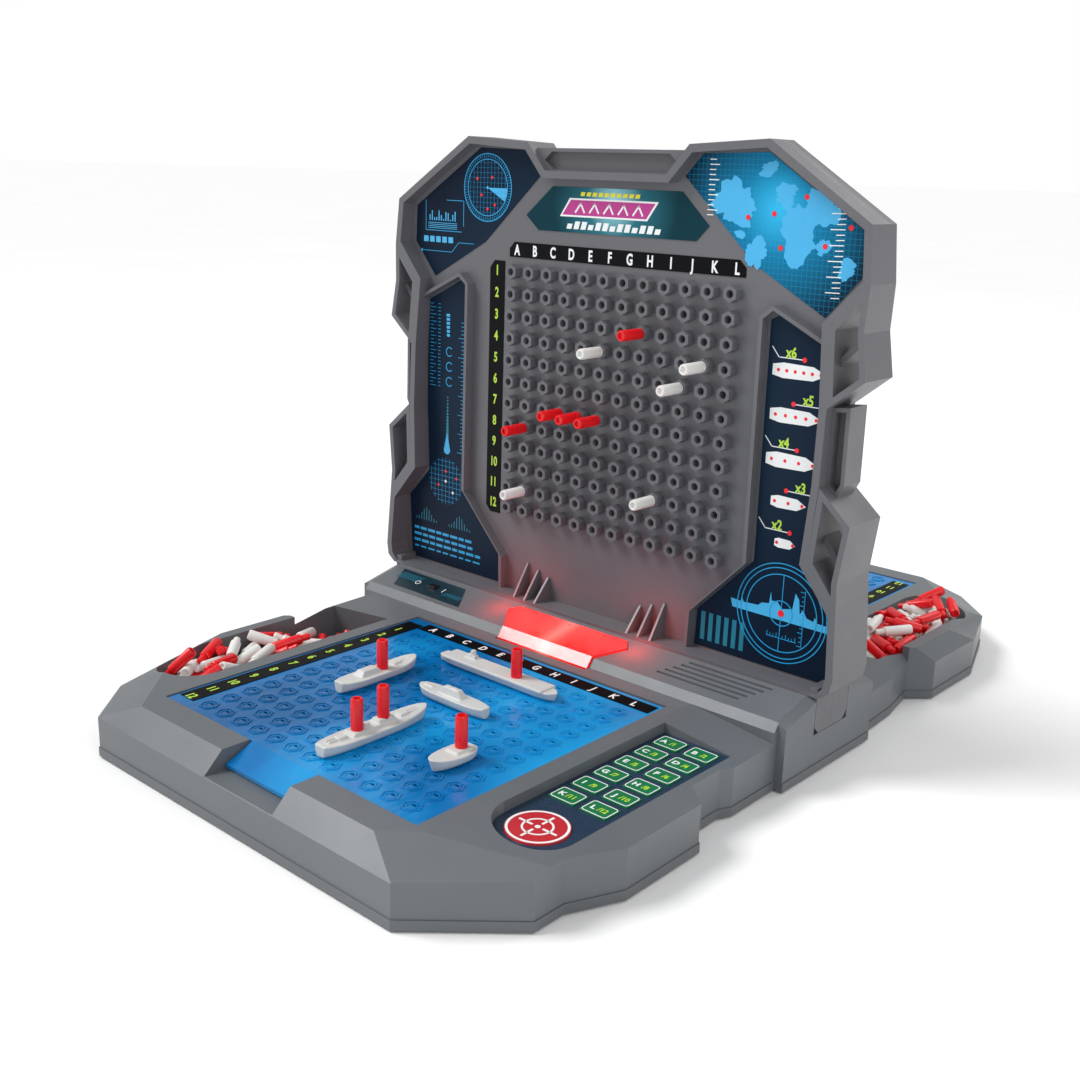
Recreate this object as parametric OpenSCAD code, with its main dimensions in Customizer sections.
// Two-player guessing game case: a base with one wing per player, a console
// across its middle, and an upright target wall that lifts off the console.
// +X is to the front player's right, +Y runs away from that player, +Z is up.
// The rear half is the front half turned half a turn about Z.

/* [Base] */
// Width of the base across its widest bumps
base_w = 278; // [270:1:340]
// Length of the base from one player's edge to the other's
base_l = 444; // [436:1:540]
// Height of the flat deck around the ocean lids
deck_z = 28; // [27:0.5:34]
// Wall thickness of the shells
wall = 2.2; // [1.6:0.1:3]

/* [Target wall] */
// Height of the top of the target wall
wall_top = 268; // [262:1:322]
// Thickness of the rim around each target panel
rim_t = 3.5; // [2.5:0.1:4.5]

/* [Grid] */
// Holes along each side of a grid
cells = 12; // [10:1:12]
// Column pitch of the target grid
pitch_x = 11.77; // [10:0.01:12]
// Row pitch of the target grid
pitch_z = 10.96; // [9.5:0.01:11.5]
// Diameter of the bore in a target socket
bore_d = 3.6; // [3:0.1:4.2]

/* [Pegs] */
// Diameter of a peg's head
peg_d = 5.2; // [4.4:0.1:6]
// Length of a peg's head
peg_l = 14.5; // [10:0.5:18]
// Length of a peg's stem
stem_l = 4.6; // [3:0.1:4.9]

/* [Keypad] */
// Width of a key
key_w = 12.5; // [10:0.1:13.4]
// Length of a key
key_l = 9.5; // [8:0.1:10.6]
// Travel of a key
key_travel = 0.8; // [0.4:0.1:1]

/* [Fits] */
// Gap between parts that slide or lift out
slip = 0.3; // [0.2:0.05:0.5]

/* [Hidden] */
$fn = 32;
key_count = 12;
KEYS = [for (side = ["front", "rear"], i = [1:key_count]) str(side, "_key_", i)];
big = 700;
eps = 0.02;

// Base
hw = base_w / 2;
hl = base_l / 2;
seam_z = 5;
cover_z = 1;
cover_proud = 0.5;
floor_z = cover_z + wall;
console_hw = hw - 3.8;
end_cut = 4.7;
crease_y = 37.5;
crease_z = deck_z + 4;
top_y = 15.3;
top_z = crease_z + 5.4;
front_y = 40.5;

// Ocean lid and the well under it
lid_x0 = -hw + 61.3;
lid_x1 = hw - 57.5;
lid_y0 = -hl + 23;
lid_y1 = -51.5;
lid_t = 2;
lid_z = deck_z - 0.5;
lid_gap = 0.6;
hinge_y = lid_y1 - 1.5;
hinge_r = 1.5;
hinge_z = lid_z - hinge_r;
pin_l = 2.8;
ledge = 3;
basin_z = 8;
lid_pitch_x = 11.65;
lid_pitch_y = 11;
lid_a_x = lid_x0 + 19.7;
lid_1_y = lid_y1 - 15.9;
tab_x0 = -16;
tab_x1 = 26;
notch_z = deck_z - 8.7;

// Peg tray
tray_x0 = -hw + 18;
tray_x1 = -hw + 52.7;
tray_y1 = -64;
tray_near_y = -hl + 54;

// Keypad
pad_x = hw - 30.8;
pad_r = 17;
pad_far_y = -64;
fire_y = -164;
fire_r = 12.4;
pad_z = deck_z - 5;
film = 0.4;
key_pitch_x = 15.5;
key_pitch_y = 13.1;
key_first_y = -72.3;
key_proud = 0.7;
flange = 0.8;
pad_board_z = pad_z - film - wall - 4.2;

// Console fittings
lens_proud = 1;
lens_t = 1.6;
bay_x = 24;
bay_y = 30;
bay_h = 15.6;
cell_d = 14.2;
cell_l = 50;
speaker_x = hw - 55;
speaker_y = -24;
speaker_r = 14;
switch_x = -94.6;
switch_y = -26.2;
switch_travel = 4;
pcb_z = 12;
ribbon_z = 22;
ribbon_y = pad_far_y + wall + 2.8;

// Target wall
pw = hw + 3;
foot_z = top_z + 0.1;
web_y = 3;
web_t = 1.8;
boss_y = 8;
rim_foot_y = 15.3;
rim_top_y = 9.3;
ledge_z = foot_z + 1.3;
lug_z = 20;
lug_y = 14;
lug_t = 4;
tongue_xs = [-70, 70];
tongue_w = 20;
tongue_y = 2.6;
grid_x = 7.05;
grid_top_z = wall_top - 64;
hex_r = 3.8;
label_t = 0.3;

// Screws: [x, y] of each boss on the front half
screw_spots = [[80, -hl + 17], [-80, -hl + 18], [-82, -45], [86, -45],
    [-hw + 11.5, -130], [hw - 7, -128], [console_hw - 17, -22]];
screw_r = 1.25;
head_r = 2.8;
panel_screw_spots = [[66, wall_top - 44], [82, 150], [52, 62]];
foot_spots = [[98, -hl + 26], [-100, -hl + 34], [hw - 22, -56], [-hw + 22, -52]];

// ---- Helpers ----

// Unit normal that points out of an anticlockwise outline's edge
function edge_n(a, b) = [b.y - a.y, a.x - b.x] / norm(b - a);

// Outline moved inwards by d, with its corners kept sharp
function inset(p, d) = let (n = len(p)) [for (i = [0:n - 1])
    let (u = edge_n(p[(i + n - 1) % n], p[i]), v = edge_n(p[i], p[(i + 1) % n]))
    p[i] - d * (u + v) / (1 + u * v)];

function mirrored(p) = [for (i = [len(p) - 1:-1:0]) [-p[i].x, p[i].y]];

module turn() { rotate([0, 0, 180]) children(); }

module both() { children(); turn() children(); }

// Takes away what is above the plane through three points
module above(a, b, c, drop = 0) {
    n0 = cross(b - a, c - a);
    n = n0.z > 0 ? n0 / norm(n0) : -n0 / norm(n0);
    translate(a - drop * n) rotate([0, acos(n.z), atan2(n.y, n.x)])
        translate([-big, -big, 0]) cube([2 * big, 2 * big, big]);
}

module box(lo, hi) { translate(lo) cube(hi - lo); }

// A rod along Z between two heights
module rod(x, y, z0, z1, r) { translate([x, y, z0]) cylinder(h = z1 - z0, r = r); }

// An outline in X and Z, pushed out along -Y from y0 to y1
module slab(y0, y1) {
    translate([0, -y0, 0]) rotate([90, 0, 0]) linear_extrude(y1 - y0) children();
}

// A profile in Y and Z, pushed out along X from x0 to x1
module bar(x0, x1) {
    translate([x0, 0, 0]) rotate([90, 0, 90]) linear_extrude(x1 - x0) children();
}

// A flat strip of the given width along a path with square bends
module ribbon(path, w) {
    for (i = [0:len(path) - 2]) {
        a = path[i];
        b = path[i + 1];
        translate([min(a.x, b.x) - w / 2, min(a.y, b.y) - w / 2])
            square([abs(a.x - b.x) + w, abs(a.y - b.y) + w]);
    }
}

// ---- Base outline and body ----

wing = [[-console_hw, -crease_y], [-hw + 8, -crease_y], [-hw + 10.1, -hl + 149.6],
    [-hw + 14.5, -hl + 125], [-hw + 4.6, -hl + 114.7], [-hw + 4.5, -hl + 68.2],
    [-hw + 18.6, -hl + 24.8], [-hw + 42.5, -hl], [hw - 45.8, -hl], [hw - 10, -hl + 33.7],
    [hw - 10, -hl + 49.2], [hw, -hl + 72], [hw - 0.4, -hl + 118], [hw - 10.4, -hl + 125.5],
    [hw - 10.7, -hl + 145.7], [hw - 7.8, -hl + 151.6], [hw - 8, -crease_y],
    [console_hw, -crease_y]];
base_outline = concat(wing, [for (p = wing) -p]);

// Sloping planes around a wing's deck, each through three points
front_z = deck_z - 9;
side_z = deck_z - 7.8;
step_z = 0.15;
function v3(i, z) = [wing[i].x, wing[i].y, z];
bevels = [
    [v3(7, front_z), v3(8, front_z), [0, -hl + 9.2, deck_z]],
    [v3(6, front_z + step_z), v3(7, front_z + step_z), [-hw + 56, -hl + 16.5, deck_z]],
    [v3(5, side_z), v3(6, front_z + 2 * step_z), [-hw + 27, -hl + 43, deck_z]],
    [v3(4, side_z + step_z), v3(5, side_z + step_z), [-hw + 12, -hl + 90, deck_z]],
    [v3(8, front_z + step_z), v3(9, side_z), [hw - 51, -hl + 21, deck_z]],
    [[hw - 51, 0, deck_z], [hw - 51, -hl, deck_z], [hw, -hl, deck_z - 6.3]]];
jog_bevels = [[v3(3, side_z), v3(2, side_z), [-hw + 19.5, -hl + 137, deck_z]],
    [v3(2, side_z + step_z), v3(1, side_z), [-hw + 17, -hl + 165, deck_z]]];

// Body of one wing, with its walls and top moved in by t
module wing_body(t, z0) {
    difference() {
        translate([0, 0, z0]) linear_extrude(deck_z - t - z0)
            intersection() {
                polygon(inset(base_outline, t));
                translate([-big, -big]) square([2 * big, big - crease_y + 5]);
            }
        for (b = bevels) above(b[0], b[1], b[2], t);
        intersection() {
            for (b = jog_bevels) above(b[0], b[1], b[2], t);
            box([-big, wing[3].y, 0], [-hw + 30, -front_y, big]);
        }
    }
}

// Body of the console, moved in by t
module console_body(t, z0) {
    half = [[0, z0], [crease_y + 1 - t, z0], [front_y - t, deck_z],
        [crease_y - t * 0.8, crease_z - t * 0.9], [top_y, top_z - t], [0, top_z - t]];
    difference() {
        bar(-console_hw + t, console_hw - t) {
            polygon(half);
            mirror([1, 0]) polygon(half);
        }
        for (s = [-1, 1], e = [-1, 1]) above(
            [s * (console_hw - end_cut), -e * crease_y, crease_z],
            [s * console_hw, -e * crease_y, crease_z - 2.2],
            [s * (console_hw - end_cut), -e * top_y, top_z], t);
        for (s = [0, 1], e = [0, 1]) mirror([s, 0, 0]) mirror([0, e, 0])
            box([hw - 8 - t, crease_y + 0.5 - t, z0 - 1], [hw + 5, front_y + 5, big]);
    }
}

module body(t, z0) {
    wing_body(t, z0);
    turn() wing_body(t, z0);
    console_body(t, z0);
}

// ---- Pockets in the top shell ----

module tray_outline(g) {
    polygon([[tray_x0 - g, tray_near_y], [tray_x1 + g, tray_near_y],
        [tray_x1 + g, tray_y1 + g], [tray_x0 - g, tray_y1 - 7 + g]]);
    translate([(tray_x0 + tray_x1) / 2, tray_near_y]) circle(r = (tray_x1 - tray_x0) / 2 + g);
}

module pad_outline(g) {
    translate([pad_x - pad_r - g, fire_y]) square([2 * (pad_r + g), pad_far_y - fire_y + g]);
    translate([pad_x, fire_y]) circle(r = pad_r + g);
}

module well_box(g, z0, z1) {
    box([lid_x0 - lid_gap - g, lid_y0 - lid_gap - g, z0],
        [lid_x1 + lid_gap + g, lid_y1 + 1.2 + g, z1]);
}

module notch_box(g, z0) {
    box([tab_x0 - 1 - g, -hl - 5, z0], [tab_x1 + 1 + g, lid_y0 + 1 + g, big]);
}

module lens_outline(g) {
    polygon(inset([[-29, -front_y - 3], [29, -front_y - 3], [29, -crease_y - 0.5],
        [38.8, -24], [34.7, -18.5], [-34.7, -18.5], [-38.8, -24],
        [-29, -crease_y - 0.5]], -g));
}

function key_spot(i) = [pad_x + (i % 2 == 1 ? -0.5 : 0.5) * key_pitch_x,
    key_first_y - floor((i - 1) / 2) * key_pitch_y];

module key_holes(g) {
    for (i = [1:key_count]) translate(key_spot(i))
        square([key_w + 2 * g, key_l + 2 * g], center = true);
    translate([pad_x, fire_y]) circle(r = fire_r + g);
}

module shell_pockets() {
    well_box(0, lid_z - lid_t - 0.1, big);
    box([lid_x0 - lid_gap, hinge_y - 2.6, hinge_z - 2.6],
        [lid_x1 + lid_gap, lid_y1 + 1.2, big]);
    box([lid_x0 + ledge, lid_y0 + ledge, basin_z], [lid_x1 - ledge, lid_y1 + 1.2, big]);
    notch_box(0, notch_z);
    translate([0, 0, basin_z]) linear_extrude(big) tray_outline(0);
    translate([0, 0, pad_z - film]) linear_extrude(big) pad_outline(0);
    translate([0, 0, pad_board_z]) linear_extrude(pad_z) key_holes(slip / 2 + 0.05);
}

module shell_liners() {
    well_box(wall, basin_z - wall, big);
    notch_box(wall, notch_z - wall);
    translate([0, 0, basin_z - wall]) linear_extrude(big) tray_outline(wall);
    translate([0, 0, pad_z - film - wall]) linear_extrude(big) pad_outline(wall);
    for (p = screw_spots) rod(p.x, p.y, basin_z + 0.2, big, 3.3);
    rod(speaker_x, speaker_y, 24, big, speaker_r + 1.6);
    hinge_blocks();
    box([console_hw - lug_t - 0.3 - wall, -lug_y - slip - wall, lug_z - 3],
        [console_hw, lug_y + slip + wall, big]);
}

module hinge_blocks() {
    for (x = [lid_x0 - lid_gap - 5, lid_x1 + lid_gap])
        box([x, hinge_y - 4, deck_z - 6], [x + 5, hinge_y + 4, deck_z]);
}

module hinge_bores() {
    translate([lid_x0 - lid_gap - pin_l - 0.4, hinge_y, hinge_z]) rotate([0, 90, 0])
        cylinder(h = lid_x1 - lid_x0 + 2 * (lid_gap + pin_l + 0.4), r = hinge_r + 0.06);
}

module grille() {
    for (i = [0:4]) {
        y = -18.5 - i * 3.25;
        x0 = speaker_x - 13 - i * 2.2;
        box([x0, y - 0.65, 24], [x0 + 44.5, y + 0.65, big]);
    }
}

module lug_recess(g) {
    box([console_hw - lug_t - 0.3 + g, -lug_y - g, lug_z - g],
        [console_hw + 1, lug_y + g, big]);
}

module top_shell() {
    color([0.38, 0.39, 0.41]) difference() {
        union() {
            difference() {
                body(0, seam_z);
                body(wall, seam_z - 1);
            }
            intersection() {
                both() shell_liners();
                body(0, seam_z);
            }
        }
        both() {
            shell_pockets();
            hinge_bores();
            grille();
            lug_recess(slip);
            translate([0, 0, seam_z + 8]) linear_extrude(big) lens_outline(slip);
            for (p = screw_spots) rod(p.x, p.y, seam_z, 18, screw_r + 0.05);
            for (x = tongue_xs) box([x - tongue_w / 2, -tongue_y, seam_z + 15],
                [x + tongue_w / 2, tongue_y, big]);
            rod(speaker_x, speaker_y, 12, 29.2, speaker_r + 0.2);
        }
        box([switch_x - 6, switch_y - 3, 27], [switch_x + 6, switch_y + 3, big]);
        box([switch_x - 10, switch_y - 5, 10], [switch_x + 10, switch_y + 5, 31.2]);
    }
}

// ---- Bottom cover and what it holds ----

module bottom_cover() {
    color([0.36, 0.37, 0.39]) difference() {
        union() {
            difference() {
                translate([0, 0, cover_z]) linear_extrude(seam_z - cover_z)
                    polygon(inset(base_outline, -cover_proud));
                translate([0, 0, floor_z]) linear_extrude(seam_z)
                    polygon(inset(base_outline, wall));
            }
            translate([0, 0, cover_z + 1]) linear_extrude(seam_z + 1) difference() {
                polygon(inset(base_outline, wall + slip));
                polygon(inset(base_outline, 2 * wall));
            }
            both() for (p = screw_spots) rod(p.x, p.y, cover_z, basin_z, 4.2);
            box([-bay_x - wall, -bay_y - wall, cover_z],
                [bay_x + wall, bay_y + wall, floor_z + bay_h + wall]);
            for (x = [-106, -52], y = [-4, 24]) rod(x, y, cover_z, pcb_z, 2.5);
            both() for (y = [-150, -69]) rod(pad_x, y, cover_z, pad_board_z, 3);
        }
        box([-bay_x, -bay_y, cover_z - 1], [bay_x, bay_y, floor_z + bay_h]);
        box([-bay_x - 2, -bay_y - 2, cover_z - 1], [bay_x + 2, bay_y + 2, cover_z + 1.2]);
        rod(bay_x - 6, -bay_y - 6, cover_z - 1, seam_z, screw_r + 0.05);
        both() {
            well_box(wall + 0.2, basin_z - wall - 0.2, big);
            translate([0, 0, basin_z - wall - 0.2]) linear_extrude(big)
                tray_outline(wall + 0.2);
            for (p = screw_spots) {
                rod(p.x, p.y, cover_z - 1, 4.4, head_r + 0.2);
                rod(p.x, p.y, 4, basin_z + 1, screw_r + 0.2);
            }
            for (p = foot_spots) rod(p.x, p.y, cover_z - 1, cover_z + 1, 6.1);
        }
    }
}

module battery_door() {
    color([0.33, 0.34, 0.36]) union() {
        box([-bay_x - 2 + slip, -bay_y - 2 + slip, cover_z],
            [bay_x + 2 - slip, bay_y + 2 - slip, cover_z + 1.1]);
        for (x = [-12, 0, 12])
            box([x - 0.6, -bay_y + 2, cover_z + 1], [x + 0.6, bay_y - 2, cover_z + 1.6]);
    }
}

module batteries() {
    color([0.2, 0.5, 0.25]) for (i = [-1:1]) translate([i * (cell_d + 0.9), 0,
        floor_z + 0.4 + cell_d / 2]) rotate([i == 0 ? 90 : -90, 0, 0]) {
        translate([0, 0, -cell_l / 2]) cylinder(h = cell_l - 1, r = cell_d / 2);
        translate([0, 0, cell_l / 2 - 1.2]) cylinder(h = 1.2, r = 2.7);
    }
}

module battery_contacts() {
    color([0.75, 0.72, 0.62]) for (e = [-1, 1], i = [-1:1]) {
        x = i * (cell_d + 0.9);
        z = floor_z + 0.4 + cell_d / 2;
        translate([x - 4.5, e > 0 ? bay_y - 0.6 : -bay_y, z - 4.5]) cube([9, 0.6, 9]);
        translate([x, e > 0 ? cell_l / 2 + 0.05 : -bay_y + 0.5, z]) rotate([-90, 0, 0])
            cylinder(h = bay_y - cell_l / 2 - 0.55, r = 2.2);
    }
}

module rubber_feet() {
    color([0.1, 0.1, 0.1]) both() for (p = foot_spots) rod(p.x, p.y, 0, cover_z + 1, 6);
}

module case_screws() {
    color([0.7, 0.7, 0.72]) both() for (p = screw_spots) union() {
        rod(p.x, p.y, 2.6, 4.4, head_r);
        rod(p.x, p.y, 4.2, 16, screw_r);
    }
}

module circuit_board() {
    color([0.1, 0.42, 0.22]) union() {
        box([-112, -8, pcb_z], [-42, 28, pcb_z + 1.6]);
        box([-50, -8, pcb_z + 1.5], [-44, 14, ribbon_z + 0.8]);
        box([-110.5, 20, pcb_z + 1.5], [-105.5, 26, ribbon_z + 0.8]);
        box([-92, 2, pcb_z + 1.5], [-78, 16, pcb_z + 4]);
        for (x = [-70, -62]) rod(x, 20, pcb_z + 1.5, pcb_z + 9, 3);
        rod(-98, 8, pcb_z + 1.5, pcb_z + 5, 4);
    }
}

module speaker() {
    color([0.16, 0.16, 0.17]) difference() {
        union() {
            rod(speaker_x, speaker_y, 23, 29, speaker_r);
            rod(speaker_x, speaker_y, 15, 23.1, 9);
        }
        rod(speaker_x, speaker_y, 25.5, 30, speaker_r - 3);
    }
}

module keypad_circuits() {
    color([0.1, 0.42, 0.22]) both() box([pad_x - 14, fire_y - 13, pad_board_z],
        [pad_x + 14, pad_far_y - 2, pad_board_z + 1.4]);
}

module keypad_overlays() {
    color([0.05, 0.1, 0.22]) both() translate([0, 0, pad_z - film])
        linear_extrude(film) difference() {
            pad_outline(-0.2);
            key_holes(slip / 2 + 0.05);
        }
}

module wiring() {
    color([0.75, 0.1, 0.1]) {
        translate([0, 0, ribbon_z]) linear_extrude(0.8) {
            ribbon([[pad_x, ribbon_y], [pad_x, 6], [-41.4, 6]], 5);
            ribbon([[-pad_x, -ribbon_y], [-pad_x, 28.5]], 5);
            ribbon([[speaker_x, -5.4], [speaker_x, -1], [-43, -1]], 2);
            ribbon([[0, -22], [0, -6], [-43, -6]], 2);
            ribbon([[0, 22], [0, 12], [-43, 12]], 2);
        }
        translate([0, 0, pcb_z + 1.6]) linear_extrude(0.8)
            ribbon([[-bay_x - wall - 1.1, -4], [-42.9, -4]], 2);
        both() {
            box([pad_x - 2.5, ribbon_y - 2.5, pad_board_z + 1.4],
                [pad_x + 2.5, ribbon_y - 1.7, ribbon_z + 0.1]);
            box([pad_x - 2.5, pad_far_y - 2.6, pad_board_z + 1.4],
                [pad_x + 2.5, ribbon_y - 2.4, pad_board_z + 2.2]);
        }
    }
}

module power_switch_body() {
    color([0.12, 0.12, 0.13]) difference() {
        box([switch_x - 9.5, switch_y - 4.5, 23], [switch_x + 9.5, switch_y + 4.5, 31]);
        box([switch_x - 7.5, switch_y - 2.6, 26], [switch_x + 7.5, switch_y + 2.6, 32]);
    }
}

module power_switch_knob() {
    color([0.08, 0.08, 0.09]) union() {
        box([switch_x - 0.5, switch_y - 2.3, 26.3], [switch_x + 5.3, switch_y + 2.3, 36]);
        for (i = [0:2]) box([switch_x + 0.3 + 1.8 * i, switch_y - 2.3, 35.9],
            [switch_x + 1.2 + 1.8 * i, switch_y + 2.3, 36.5]);
    }
}

module lens_skin(lift) {
    half = [[seam_z + 10, -front_y - 0.9 - lift], [deck_z, -front_y - 0.9 - lift],
        [crease_z + lift + 0.4, -crease_y - lift * 0.8 - 0.2], [top_z + lift, -top_y],
        [seam_z + 10, -top_y]];
    bar(-60, 60) polygon([for (p = half) [p.y, p.x]]);
}

module beacon_lenses() {
    color([0.9, 0.12, 0.1, 0.7]) both() difference() {
        intersection() {
            lens_skin(lens_proud - 0.4);
            translate([0, 0, deck_z - 1.8]) linear_extrude(big) lens_outline(0);
        }
        intersection() {
            translate([0, 0, -1.2]) lens_skin(-lens_t + 0.5);
            linear_extrude(big) lens_outline(-lens_t);
        }
    }
}

module beacon_leds() {
    color([0.9, 0.9, 0.85]) both() union() {
        box([-12, -32, ribbon_z - 0.2], [12, -23, ribbon_z + 1]);
        for (x = [-8, 8]) {
            rod(x, -28, ribbon_z + 0.9, ribbon_z + 5, 2.5);
            translate([x, -28, ribbon_z + 5]) sphere(r = 2.5);
        }
    }
}

// ---- Keys ----

module key_cap(spot) {
    color([0.03, 0.42, 0.22]) union() {
        translate([spot.x, spot.y, pad_board_z + 1.4 + key_travel])
            linear_extrude(pad_z + key_proud - pad_board_z - 1.4 - key_travel)
                square([key_w, key_l], center = true);
        translate([spot.x, spot.y, pad_z - film - wall - key_travel - 0.9])
            linear_extrude(flange) square([key_w + 1.6, key_l + 1.6], center = true);
    }
}

module fire_button() {
    color([0.82, 0.1, 0.12]) union() {
        rod(pad_x, fire_y, pad_board_z + 1.4 + key_travel, pad_z + key_proud, fire_r);
        rod(pad_x, fire_y, pad_z - film - wall - key_travel - 0.9,
            pad_z - film - wall - key_travel - 0.9 + flange, fire_r + 0.8);
    }
}

// ---- Ocean lids ----

module ocean_lid() {
    color([0.08, 0.42, 0.85, 0.8]) union() {
        translate([0, 0, lid_z - lid_t]) linear_extrude(lid_t) difference() {
            translate([lid_x0, lid_y0]) square([lid_x1 - lid_x0, lid_y1 - lid_y0]);
            for (i = [0:cells - 1], j = [0:cells - 1])
                translate([lid_a_x + i * lid_pitch_x, lid_1_y - j * lid_pitch_y])
                    circle(d = bore_d);
        }
        bar(tab_x0, tab_x1) polygon([[lid_y0 + 0.5, lid_z - lid_t], [lid_y0 + 0.5, lid_z],
            [lid_y0, lid_z], [-hl + 10, deck_z - 6.2], [-hl + 10.4, deck_z - 8.1],
            [lid_y0 - 0.6, lid_z - lid_t]]);
        for (x = [lid_x0 - lid_gap - pin_l, lid_x1 - 1]) translate([x, hinge_y, hinge_z])
            rotate([0, 90, 0]) cylinder(h = lid_gap + pin_l + 1, r = hinge_r);
    }
}

module lid_strips() {
    color([0.05, 0.05, 0.06]) translate([0, 0, lid_z]) linear_extrude(label_t) {
        polygon([[lid_a_x - 18.4, lid_1_y + 9.4], [lid_a_x - 8.5, lid_1_y + 9.4],
            [lid_a_x - 8.5, lid_1_y - cells * lid_pitch_y + 6],
            [lid_a_x - 18.4, lid_1_y - cells * lid_pitch_y + 6]]);
        polygon([[lid_a_x - 7.5, lid_1_y + 5.4], [lid_a_x + cells * lid_pitch_x - 1.6,
            lid_1_y + 5.4], [lid_a_x + cells * lid_pitch_x - 1.6, lid_1_y + 13.4],
            [lid_a_x - 7.5, lid_1_y + 13.4]]);
    }
}

// ---- Target wall ----

up = wall_top;
right_side = [[pw - 6, foot_z], [pw - 1.2, foot_z + 3.6], [pw, foot_z + 10],
    [pw - 2, 76], [pw - 18, 95.5], [pw - 16.2, up - 139], [pw - 16.5, up - 106],
    [pw - 19, up - 73], [pw - 2.9, up - 55], [pw - 5, up - 31.7], [87, up], [47, up - 2.5],
    [35.5, up - 15.3]];
panel_outline = concat(right_side, mirrored(right_side));

module panel_wedge() {
    bar(-pw - 1, pw + 1) polygon([[0, lug_z - 1], [-rim_foot_y, lug_z - 1],
        [-rim_foot_y, foot_z + 2.6], [-rim_top_y, wall_top], [-rim_top_y, wall_top + 1],
        [0, wall_top + 1]]);
}

pocket_pts = inset([for (p = panel_outline) p.y > foot_z ? p : [p.x, ledge_z - rim_t]], rim_t);

// Ridge that frames a side column, as a wall along a line of points
ridge = [[-59.5, foot_z], [-60, 56], [-88.5, 86], [-87.5, up - 72], [-93.7, up - 67],
    [-124.5, up - 81.5]];
ridge_in = [[-61.3, foot_z], [-61.8, 56.8], [-90.3, 86.8], [-89.3, up - 72.8],
    [-94.1, up - 69], [-124.5, up - 83.5]];

// The see-through side brackets: a full-depth frame with a thin bar across it
top_frame = [[pw - 19, up - 73], [pw - 16.5, up - 106], [pw - 0.5, up - 93],
    [pw - 3.6, up - 74], [pw - 2.9, up - 55]];
low_frame = [[pw - 18, 95.5], [pw - 2, 76], [pw - 3, 90], [pw, 115], [pw - 16, up - 139]];
bar_t = 2.6;

module side_frames() {
    for (q = [top_frame, low_frame]) difference() {
        polygon(fix(q));
        polygon(inset(fix(q), bar_t));
    }
}

module side_bars() {
    polygon(fix([[pw - 18, up - 92], [pw - 18, up - 88], [pw - 4, up - 73],
        [pw - 4, up - 77]]));
    polygon(fix([[pw - 18, 108], [pw - 18, 112], [pw - 3, 92], [pw - 3, 88]]));
}

// Outline in anticlockwise order
function area(p) = let (n = len(p)) [for (i = [0:n - 1]) p[i].x * p[(i + 1) % n].y
    - p[(i + 1) % n].x * p[i].y] * [for (i = [0:n - 1]) 1];
function fix(p) = area(p) > 0 ? p : [for (i = [len(p) - 1:-1:0]) p[i]];

module side_pocket() {
    q = [[pw - 16.8, up - 139.5], [pw - 11, up - 144], [pw - 7.8, up - 138],
        [pw - 8.2, up - 105], [pw - 16.8, up - 106]];
    slab(0, 2) polygon(fix(q));
    slab(0, 7) difference() {
        polygon(fix(q));
        polygon(inset(fix(q), 1.8));
    }
}

module fin(x) {
    top = foot_z + 13 + (abs(x) - 30) * 0.33;
    bar(x - 0.6, x + 0.6) polygon([[-web_y + 0.5, ledge_z - 0.5], [-web_y + 0.5, top],
        [-web_y - 1, top], [-rim_foot_y + 0.5, ledge_z - 0.5]]);
}

function socket(i, j) = [grid_x + (i - (cells - 1) / 2) * pitch_x, grid_top_z - j * pitch_z];

module target_panel(back) {
    difference() {
        union() {
            difference() {
                intersection() {
                    panel_wedge();
                    slab(0, 20) polygon(panel_outline);
                }
                slab(web_y, 30) polygon(pocket_pts);
                slab(-1, web_y - web_t) polygon(inset(panel_outline, rim_t));
            }
            slab(0, 6) difference() {
                polygon([[-48, up - 22], [48, up - 22], [44, up - 5], [-44, up - 5]]);
                polygon(pocket_pts);
            }
            for (s = [0, 1]) mirror([s, 0, 0]) {
                intersection() {
                    panel_wedge();
                    slab(0, 20) side_frames();
                }
                slab(web_y - 0.5, boss_y) polygon(concat(ridge,
                    [for (i = [len(ridge) - 1:-1:0]) ridge_in[i]]));
                slab(0, 6) side_bars();
                side_pocket();
                for (x = [30, 37, 44.3]) fin(x);
                difference() {
                    box([console_hw - lug_t, -lug_y, lug_z], [console_hw, -0.05, foot_z + 4]);
                    translate([0, -lug_y, lug_z]) rotate([45, 0, 0])
                        cube([big, 5, 5], center = true);
                }
            }
            for (x = tongue_xs) box([x - tongue_w / 2 + slip, -tongue_y + slip, foot_z - 8],
                [x + tongue_w / 2 - slip, -0.05, foot_z + 2]);
            slab(web_y - 0.5, boss_y) for (i = [0:cells - 1], j = [0:cells - 1])
                translate(socket(i, j)) rotate(30) circle(r = hex_r, $fn = 6);
            if (!back) for (p = panel_screw_spots, s = [-1, 1])
                slab(-1.1, web_y - web_t + 0.5) translate([s * p.x, p.y]) circle(r = 3.5);
        }
        slab(web_y - eps, boss_y + 1) for (i = [0:cells - 1], j = [0:cells - 1])
            translate(socket(i, j)) circle(d = bore_d);
        slab(web_y, 40) polygon([[-39, up - 10.5], [-34, up - 14.6], [34, up - 14.6],
            [39, up - 10.5], [34.5, up - 6.6], [-34.5, up - 6.6]]);
        for (p = panel_screw_spots, s = [-1, 1]) slab(-5, back ? 40 : web_y - 0.8)
            translate([s * p.x, p.y]) circle(r = screw_r + (back ? 0.25 : 0.05));
    }
}

module front_target_panel() { color([0.42, 0.42, 0.45]) target_panel(false); }

module rear_target_panel() { color([0.42, 0.42, 0.45]) turn() target_panel(true); }

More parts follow.
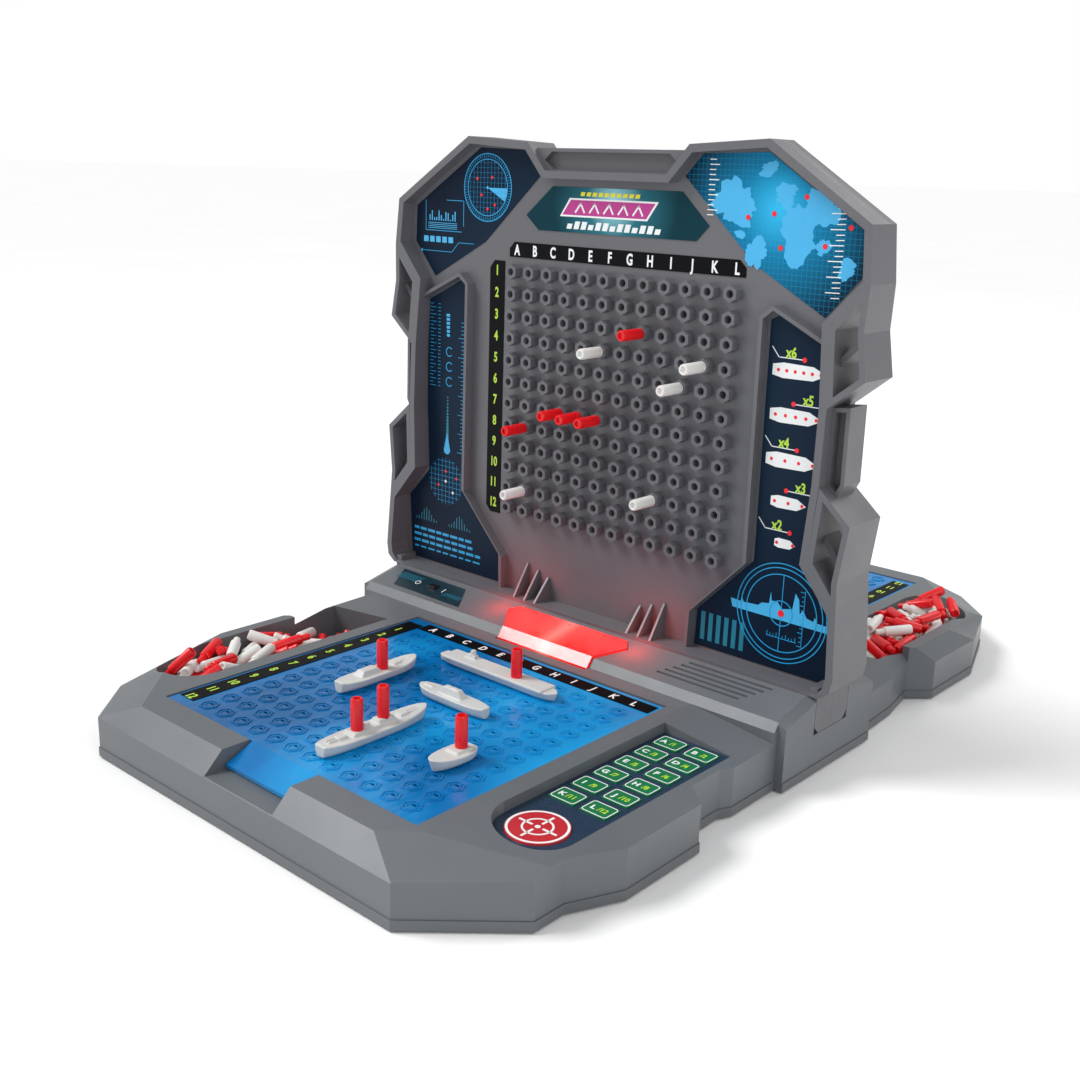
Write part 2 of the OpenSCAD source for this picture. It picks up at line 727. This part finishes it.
module panel_screws() {
    color([0.7, 0.7, 0.72]) for (p = panel_screw_spots, s = [-1, 1])
        translate([s * p.x, 0, p.y]) rotate([-90, 0, 0]) union() {
            translate([0, 0, web_y]) cylinder(h = 1.6, r = head_r);
            translate([0, 0, -2]) cylinder(h = web_y + 2.2, r = screw_r);
        }
}

radar_label = [[-pw + 11.8, up - 34.7], [-pw + 11, up - 53.1], [-pw + 25.8, up - 70.3],
    [-79.9, up - 50.8], [-41.6, up - 15.8], [-50.5, up - 6.2], [-83.8, up - 5.2]];
column_label = [[-62.6, foot_z + 2.2], [-63.2, 57.4], [-91.7, 87.4], [-90.7, up - 73.4],
    [-95.5, up - 70.5], [-119.8, up - 82.6], [-pw + 20.6, up - 106], [-pw + 20.4, up - 139],
    [-pw + 22.1, 92], [-pw + 6.6, 75.4], [-pw + 8, foot_z + 10], [-pw + 8.6, foot_z + 4.4],
    [-pw + 11.2, foot_z + 4.4], [-pw + 11.2, foot_z + 2.2]];
letters_z = grid_top_z + 7;

module label_set() {
    slab(web_y, web_y + label_t) {
        polygon(fix(radar_label));
        mirror([1, 0]) polygon(fix(radar_label));
        polygon(fix(column_label));
        mirror([1, 0]) polygon(fix(column_label));
        polygon(fix([[-52.2, up - 36.4], [-44, up - 43.2], [49.3, up - 43.2],
            [55.8, up - 36.4], [40.5, up - 22.4], [-35.6, up - 22.4]]));
        polygon(fix([[socket(0, 0).x - 5.1, letters_z], [socket(cells - 1, 0).x + 4.5,
            letters_z], [socket(cells - 1, 0).x + 4.5, letters_z + 4],
            [socket(cells - 1, 0).x + 1, letters_z + 7.3], [socket(0, 0).x - 2, letters_z + 7.3],
            [socket(0, 0).x - 5.1, letters_z + 4]]));
        polygon(fix([[socket(0, 0).x - 18.3, grid_top_z + 1], [socket(0, 0).x - 15.3,
            grid_top_z + 4.6], [socket(0, 0).x - 8.3, grid_top_z + 4.6],
            [socket(0, 0).x - 8.3, socket(0, cells - 1).y - 5.8], [socket(0, 0).x - 15.3,
            socket(0, cells - 1).y - 5.8], [socket(0, 0).x - 18.3,
            socket(0, cells - 1).y - 2.4]]));
    }
}

module panel_labels() { color([0.03, 0.1, 0.22]) both() label_set(); }

// ---- Pegs ----

// A peg along +Z, standing on the step under its head
module peg() {
    union() {
        cylinder(h = peg_l, d = peg_d);
        translate([0, 0, -stem_l]) cylinder(h = stem_l + 0.5, d = bore_d - 0.2);
    }
}

// Pegs in the target sockets, as [column, row] counted from A and 1
red_shots = [[7, 2], [3, 6], [4, 6], [5, 6], [1, 7]];
white_shots = [[5, 3], [10, 3], [9, 4], [8, 9], [1, 10]];

module wall_pegs(shots) {
    for (s = shots) translate([socket(s.x, s.y).x, -boss_y - 0.05, socket(s.x, s.y).y])
        rotate([90, 0, 0]) peg();
}

// Spare pegs in tidy layers: every third peg of the tray is white
tray_cols = 5;
tray_rows = 4;
tray_layers = 3;
module tray_pegs(white) {
    lay = peg_d + 0.15;
    both() for (i = [0:tray_cols - 1], j = [0:tray_rows - 1], k = [0:tray_layers - 1])
        if (((i + 2 * j + k) % 3 == 0) == white)
            translate([tray_x0 + 6.4 + i * (peg_d + 0.3), tray_near_y + 4
                + j * (peg_l + stem_l + 0.6), basin_z + 0.1 + peg_d / 2 + k * lay])
                rotate([-90, 0, 0]) peg();
}

// ---- Fleet ----

ship_z = lid_z + 0.7;

// Hull outline along X: a round stern and a tapered bow
module hull_outline(l, w, bow) {
    polygon(concat([for (a = [90:15:270]) [-l / 2 + w / 2 + w / 2 * cos(a) * 0.7,
        w / 2 * sin(a)]],
        [for (t = [0:0.2:1]) [l / 2 - bow + bow * t, -w / 2 * cos(90 * t)]],
        [for (t = [0.8:-0.2:0]) [l / 2 - bow + bow * t, w / 2 * cos(90 * t)]]));
}

// A ship on the lid: centre x and y, heading, length, width, bow length, and its
// peg places as [distance ahead of the centre, height of the deck under the peg]
hull_h = 4.6;
carrier = [9, -82, 0, 73, 10.5, 16, [[12, hull_h]]];
gun_ship = [16, -162.5, 90, 59, 12.5, 20, [[-8.5, 6], [5.5, 7.4]]];
cruiser = [-29, -121.5, 90, 48, 11.5, 15, [[3.5, hull_h]]];
submarine = [16.5, -117, 180, 42, 9.5, 10, []];
patrol = [56, -156, -90, 25, 12, 14, [[-4.5, 5.4]]];
ship_peg_l = 13.5;

module ship(s) {
    color([0.82, 0.83, 0.82]) translate([s[0], s[1], ship_z]) rotate(s[2])
        difference() {
            union() {
                linear_extrude(hull_h) hull_outline(s[3], s[4], s[5]);
                children();
            }
            for (p = s[6]) rod(p[0], 0, 1, 30, bore_d / 2);
        }
}

// Deckhouse: centre along the ship, length, width, and height above the keel
module house(x, l, w, z) { box([x - l / 2, -w / 2, hull_h - 0.5], [x + l / 2, w / 2, z]); }

module carrier_ship() { ship(carrier) rod(-19, 2.6, hull_h - 0.5, 8.6, 1.8); }

module battleship() {
    ship(gun_ship) {
        house(-2, 24, 7, gun_ship[6][0][1]);
        house(5.5, 8, 6.4, gun_ship[6][1][1]);
    }
}

module cruiser_ship() { ship(cruiser) house(-6, 12, 6.4, 7); }

module submarine_ship() { ship(submarine) house(0, 14, 4.6, 8.4); }

module patrol_ship() { ship(patrol) house(-4.5, 9, 7, patrol[6][0][1]); }

module ship_pegs() {
    color([0.85, 0.08, 0.1]) for (s = [carrier, gun_ship, cruiser, patrol], p = s[6])
        translate([s[0], s[1], ship_z]) rotate(s[2]) translate([p[0], 0, p[1] + 0.05]) {
            cylinder(h = ship_peg_l, d = peg_d);
            translate([0, 0, -3]) cylinder(h = 3.5, d = bore_d - 0.2);
        }
}

// ---- Parts ----

top_shell();
bottom_cover();
ocean_lid();  // front_ocean_lid
turn() ocean_lid();  // rear_ocean_lid
lid_strips();  // front_lid_strips
turn() lid_strips();  // rear_lid_strips
front_target_panel();
rear_target_panel();
panel_labels();
panel_screws();
beacon_lenses();
beacon_leds();
circuit_board();
speaker();
battery_contacts();
batteries();
battery_door();
case_screws();
rubber_feet();
power_switch_knob();
power_switch_body();
keypad_overlays();
keypad_circuits();
wiring();
color([0.85, 0.08, 0.1]) tray_pegs(false);  // tray_red_pegs
color([0.92, 0.92, 0.9]) tray_pegs(true);  // tray_white_pegs
color([0.85, 0.08, 0.1]) wall_pegs(red_shots);  // wall_red_pegs
color([0.92, 0.92, 0.9]) wall_pegs(white_shots);  // wall_white_pegs
carrier_ship();
battleship();
cruiser_ship();
submarine_ship();
patrol_ship();
ship_pegs();
fire_button();  // front_fire_button
turn() fire_button();  // rear_fire_button
for (i = [1:key_count]) {
    key_cap(key_spot(i));
    turn() key_cap(key_spot(i));
}
